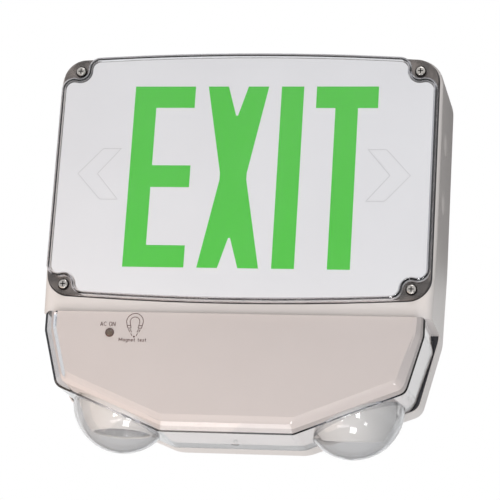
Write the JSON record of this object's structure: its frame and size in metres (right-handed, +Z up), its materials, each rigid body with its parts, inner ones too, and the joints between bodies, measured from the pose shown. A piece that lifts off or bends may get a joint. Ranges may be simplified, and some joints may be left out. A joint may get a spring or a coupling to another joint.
{
  "type": "emergency exit light",
  "caption": "Wet-location wall-mounted emergency exit sign with a clear screwed cover over a lit green legend and ball lamp heads in clear domes below.",
  "frame": {"origin": "centre of the junction-box screw pattern on the back face, which goes against the wall", "axes": "+Z up, -Y the way the sign faces, +X to the right of someone reading the sign"},
  "size_m": [0.3331, 0.095, 0.3412],
  "materials": {
    "housing_white": "satin",
    "face_white": "matt",
    "tray_white": "matt",
    "panel_white": "satin",
    "clear_cover": "polished",
    "gasket_black": "matt",
    "foam_grey": "foam",
    "screw_steel": "bright",
    "legend_green": "translucent",
    "indicator_smoke": "polished",
    "head_white": "satin",
    "reflector_chrome": "polished",
    "bracket_steel": "zinc plated",
    "board_green": "satin",
    "led_yellow": "satin",
    "core_grey": "matt",
    "sleeve_blue": "gloss",
    "terminal_black": "matt"
  },
  "bodies": {
    "unit": {"rear_housing": "housing_white", "wall_gasket": "foam_grey", "conduit_plug_upper": "housing_white", "conduit_plug_lower": "housing_white", "upper_cover": "clear_cover", "upper_gasket": "gasket_black", "cover_screws": "screw_steel", "screw_washers": "screw_steel", "sign_face": "face_white", "left_chevron": "face_white", "right_chevron": "face_white", "green_diffuser": "legend_green", "light_tray": "tray_white", "tray_screws": "screw_steel", "sign_led_board": "tray_white", "sign_leds": "led_yellow", "lower_cover": "clear_cover", "lower_gasket": "gasket_black", "lower_cover_screw": "screw_steel", "inner_panel": "panel_white", "ac_indicator": "indicator_smoke", "status_board": "board_green", "reed_switch": "clear_cover", "lamp_bracket": "bracket_steel", "bracket_screws": "screw_steel", "charger_board": "board_green", "board_transformer": "core_grey", "board_capacitors": "terminal_black", "terminal_block": "terminal_black", "battery_pack": "sleeve_blue", "battery_saddles": "head_white"},
    "left_swivel": {"left_yoke": "head_white", "left_swivel_nut": "screw_steel"},
    "left_lamp": {"left_head_shell": "head_white", "left_head_bezel": "head_white", "left_head_lens": "clear_cover", "left_head_reflector": "reflector_chrome", "left_head_led": "led_yellow", "left_pivot_pins": "screw_steel"},
    "right_swivel": {"right_yoke": "head_white", "right_swivel_nut": "screw_steel"},
    "right_lamp": {"right_head_shell": "head_white", "right_head_bezel": "head_white", "right_head_lens": "clear_cover", "right_head_reflector": "reflector_chrome", "right_head_led": "led_yellow", "right_pivot_pins": "screw_steel"}
  },
  "joints": [
    {"name": "left_pan", "type": "hinge", "parent": "unit", "child": "left_swivel", "pos_m": [-0.097, -0.0435, -0.1844], "axis": [0, 0, 1], "range_deg": [-170, 170]},
    {"name": "left_tilt", "type": "hinge", "parent": "left_swivel", "child": "left_lamp", "pos_m": [-0.097, -0.0435, -0.1844], "axis": [1, 0, 0], "range_deg": [-40, 40]},
    {"name": "right_pan", "type": "hinge", "parent": "unit", "child": "right_swivel", "pos_m": [0.097, -0.0435, -0.1844], "axis": [0, 0, 1], "range_deg": [-170, 170]},
    {"name": "right_tilt", "type": "hinge", "parent": "right_swivel", "child": "right_lamp", "pos_m": [0.097, -0.0435, -0.1844], "axis": [1, 0, 0], "range_deg": [-52, 28]}
  ]
}
